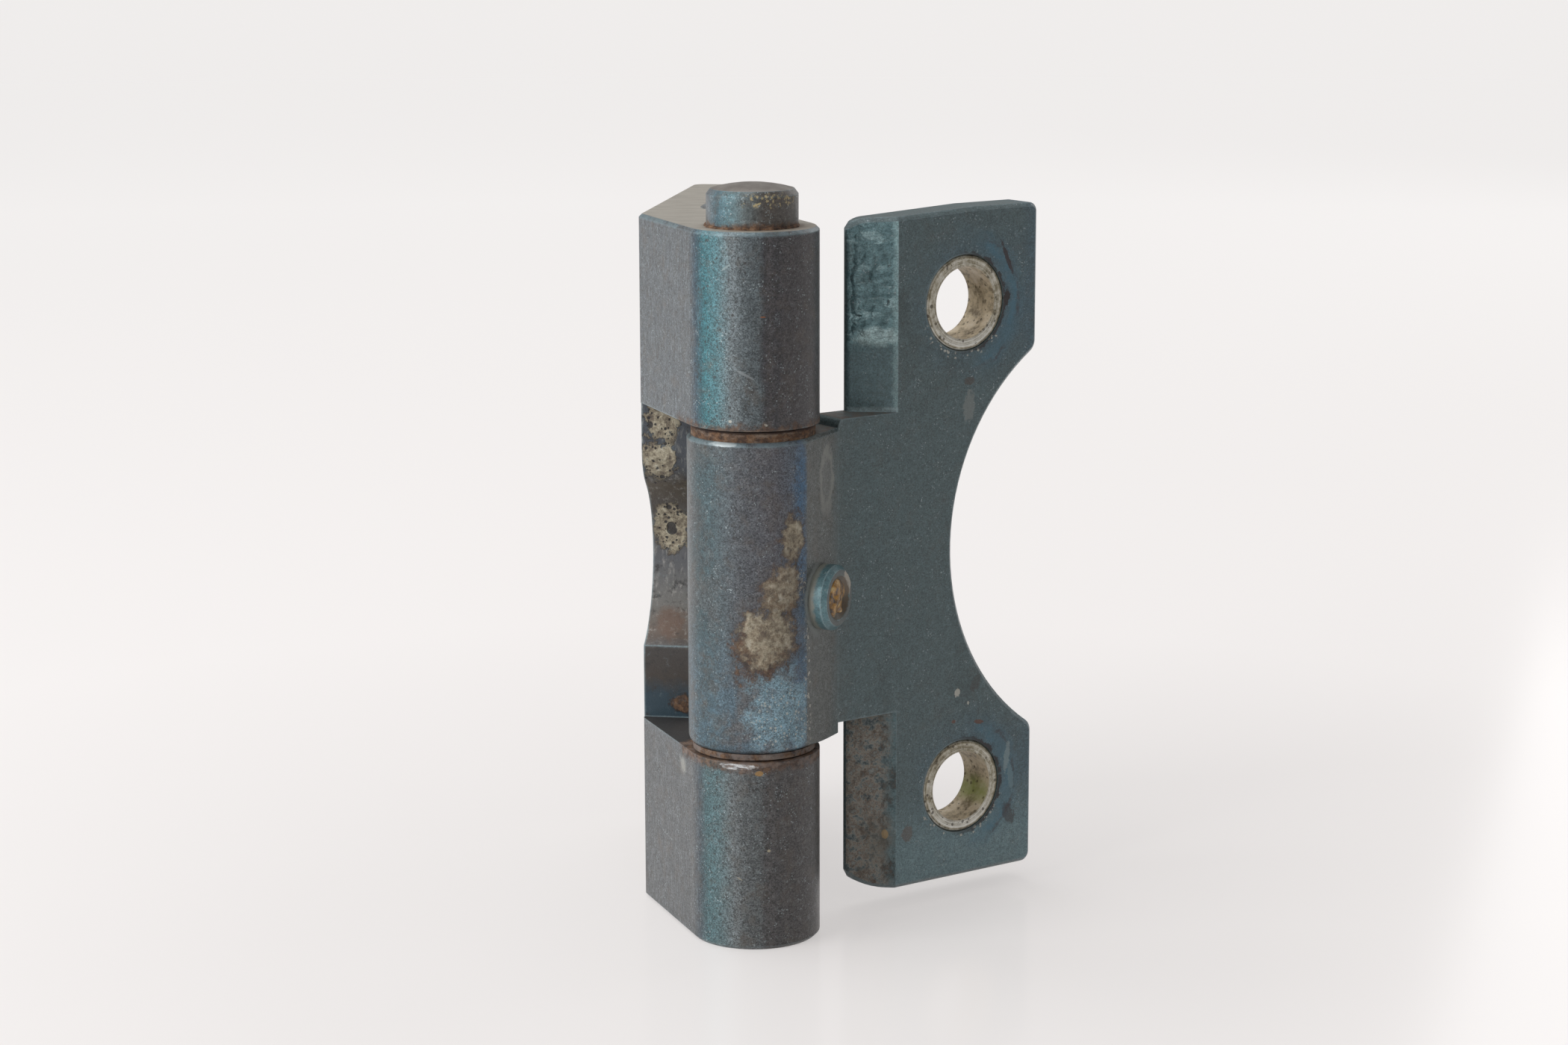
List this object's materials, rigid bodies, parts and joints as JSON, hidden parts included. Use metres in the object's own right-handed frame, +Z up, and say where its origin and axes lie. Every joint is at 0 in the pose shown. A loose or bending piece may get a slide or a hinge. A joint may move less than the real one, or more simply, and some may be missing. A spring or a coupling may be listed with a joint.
{
  "type": "car door hinge",
  "caption": "Extruded car door hinge: forked pillar half with mounting leaf, door half with a flat plate and concave edge, pin, flanged bushes, sleeved bolt holes and a grease nipple.",
  "frame": {"origin": "on the pin's axis, in the plane of the fork's sawn foot", "axes": "+Z up along the pin towards its head, +Y along the pillar leaf away from the pin, -X out of the pillar leaf's mounting face"},
  "size_m": [0.0478, 0.0585, 0.0925],
  "materials": {
    "pillar_paint": "worn metallic",
    "door_paint": "worn metallic",
    "pin_paint": "worn metallic",
    "nipple_paint": "worn metallic",
    "sleeve_steel": "dull",
    "bush_steel": "rusty",
    "ball_steel": "polished"
  },
  "bodies": {
    "pillar": {"pillar_half": "pillar_paint", "hinge_pin": "pin_paint", "pillar_sleeve_upper": "sleeve_steel", "pillar_sleeve_lower": "sleeve_steel"},
    "door": {"door_half": "door_paint", "upper_bush": "bush_steel", "lower_bush": "bush_steel", "grease_nipple": "nipple_paint", "nipple_ball": "ball_steel", "door_sleeve_upper": "sleeve_steel", "door_sleeve_lower": "sleeve_steel"}
  },
  "joints": [
    {"name": "door_swing", "type": "hinge", "parent": "pillar", "child": "door", "pos_m": [0, 0, 0], "axis": [0, 0, 1], "range_deg": [-240, 42]}
  ]
}
